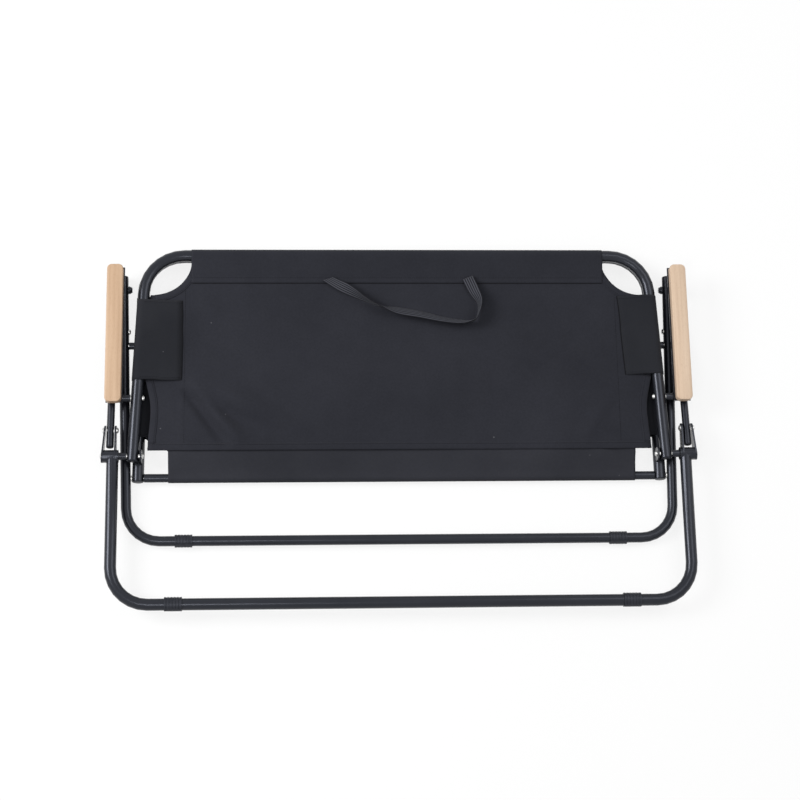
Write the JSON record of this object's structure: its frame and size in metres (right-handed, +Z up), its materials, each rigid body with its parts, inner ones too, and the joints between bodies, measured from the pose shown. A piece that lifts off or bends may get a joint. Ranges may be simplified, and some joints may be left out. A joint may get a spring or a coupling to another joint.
{
  "type": "folding camping loveseat",
  "caption": "Folding camping loveseat of bent black steel tube with cloth seat and back, wooden armrests, ribbed feet and a carry strap, stored folded flat.",
  "frame": {"origin": "on the floor under the middle of the folded chair", "axes": "+X along the chair's width to the right of the picture, +Y towards the seat's front edge, +Z up from the floor"},
  "size_m": [1.1098, 0.6916, 0.0643],
  "materials": {
    "painted_steel": "satin powder coat",
    "zinc": "bright zinc",
    "rubber": "matte",
    "cloth": "woven polyester",
    "webbing": "ribbed webbing",
    "beech": "oiled"
  },
  "bodies": {
    "seat": {"seat_frame": "painted_steel", "seat_rear_rod": "painted_steel", "seat_panel": "cloth", "rear_strip": "cloth", "rear_rod_screw_left": "zinc", "rear_rod_screw_right": "zinc", "seat_tube_plug_left": "rubber", "seat_tube_plug_right": "rubber", "hinge_rivet_left": "zinc", "hinge_rivet_right": "zinc", "hinge_spacer_left": "painted_steel", "hinge_spacer_right": "painted_steel", "leg_pivot_rivet_left": "zinc", "leg_pivot_rivet_right": "zinc"},
    "back": {"back_frame": "painted_steel", "back_panel": "cloth", "carry_strap": "webbing", "back_tube_plug_left": "rubber", "back_tube_plug_right": "rubber", "armrest_rear_rivet_left": "zinc", "armrest_rear_rivet_right": "zinc", "armrest_rear_spacer_left": "painted_steel", "armrest_rear_spacer_right": "painted_steel"},
    "front_leg": {"front_leg": "painted_steel", "front_foot_left": "rubber", "front_foot_right": "rubber", "front_leg_plug_left": "rubber", "front_leg_plug_right": "rubber", "leg_pivot_spacer_left": "painted_steel", "leg_pivot_spacer_right": "painted_steel", "armrest_pivot_bolt_left": "painted_steel", "armrest_pivot_bolt_right": "painted_steel", "link_rivet_left": "zinc", "link_rivet_right": "zinc", "link_washer_left": "rubber", "link_washer_right": "rubber"},
    "rear_leg": {"rear_leg": "painted_steel", "rear_foot_left": "rubber", "rear_foot_right": "rubber", "horn_rivet_inner_left": "zinc", "horn_rivet_inner_right": "zinc", "horn_rivet_outer_left": "zinc", "horn_rivet_outer_right": "zinc"},
    "armrest_left": {"armrest_rail_left": "painted_steel", "armrest_wood_left": "beech", "armrest_screw_rear_left": "zinc", "armrest_screw_front_left": "zinc"},
    "link_left": {"link_rod_left": "painted_steel", "link_tail_plug_left": "rubber", "link_nose_plug_left": "rubber"},
    "armrest_right": {"armrest_rail_right": "painted_steel", "armrest_wood_right": "beech", "armrest_screw_rear_right": "zinc", "armrest_screw_front_right": "zinc"},
    "link_right": {"link_rod_right": "painted_steel", "link_tail_plug_right": "rubber", "link_nose_plug_right": "rubber"}
  },
  "joints": [
    {"name": "fold", "type": "hinge", "parent": "seat", "child": "front_leg", "pos_m": [0, 0.15882, 0.012], "axis": [1, 0, 0], "range_deg": [0, 105]},
    {"name": "back_fold", "type": "hinge", "parent": "seat", "child": "back", "pos_m": [0, -0.05918, 0.038], "axis": [1, 0, 0], "range_deg": [0, 105]},
    {"name": "rear_leg_fold", "type": "hinge", "parent": "seat", "child": "rear_leg", "pos_m": [0, -0.05918, 0.038], "axis": [1, 0, 0], "range_deg": [0, 68]},
    {"name": "armrest_left_pivot", "type": "hinge", "parent": "front_leg", "child": "armrest_left", "pos_m": [0, 0.26882, 0.012], "axis": [1, 0, 0], "range_deg": [-105, 0]},
    {"name": "link_left_pivot", "type": "hinge", "parent": "front_leg", "child": "link_left", "pos_m": [0, 0.18582, 0.012], "axis": [1, 0, 0], "range_deg": [-111, 0]},
    {"name": "armrest_right_pivot", "type": "hinge", "parent": "front_leg", "child": "armrest_right", "pos_m": [0, 0.26882, 0.012], "axis": [1, 0, 0], "range_deg": [-105, 0]},
    {"name": "link_right_pivot", "type": "hinge", "parent": "front_leg", "child": "link_right", "pos_m": [0, 0.18582, 0.012], "axis": [1, 0, 0], "range_deg": [-111, 0]}
  ],
  "couplings": [
    {"joint": "back_fold", "follows": "fold", "ratio": 1},
    {"joint": "rear_leg_fold", "follows": "fold", "ratio": 0.64762},
    {"joint": "armrest_left_pivot", "follows": "fold", "ratio": -1},
    {"joint": "link_left_pivot", "follows": "fold", "ratio": -1.0536},
    {"joint": "armrest_right_pivot", "follows": "fold", "ratio": -1},
    {"joint": "link_right_pivot", "follows": "fold", "ratio": -1.0536}
  ]
}
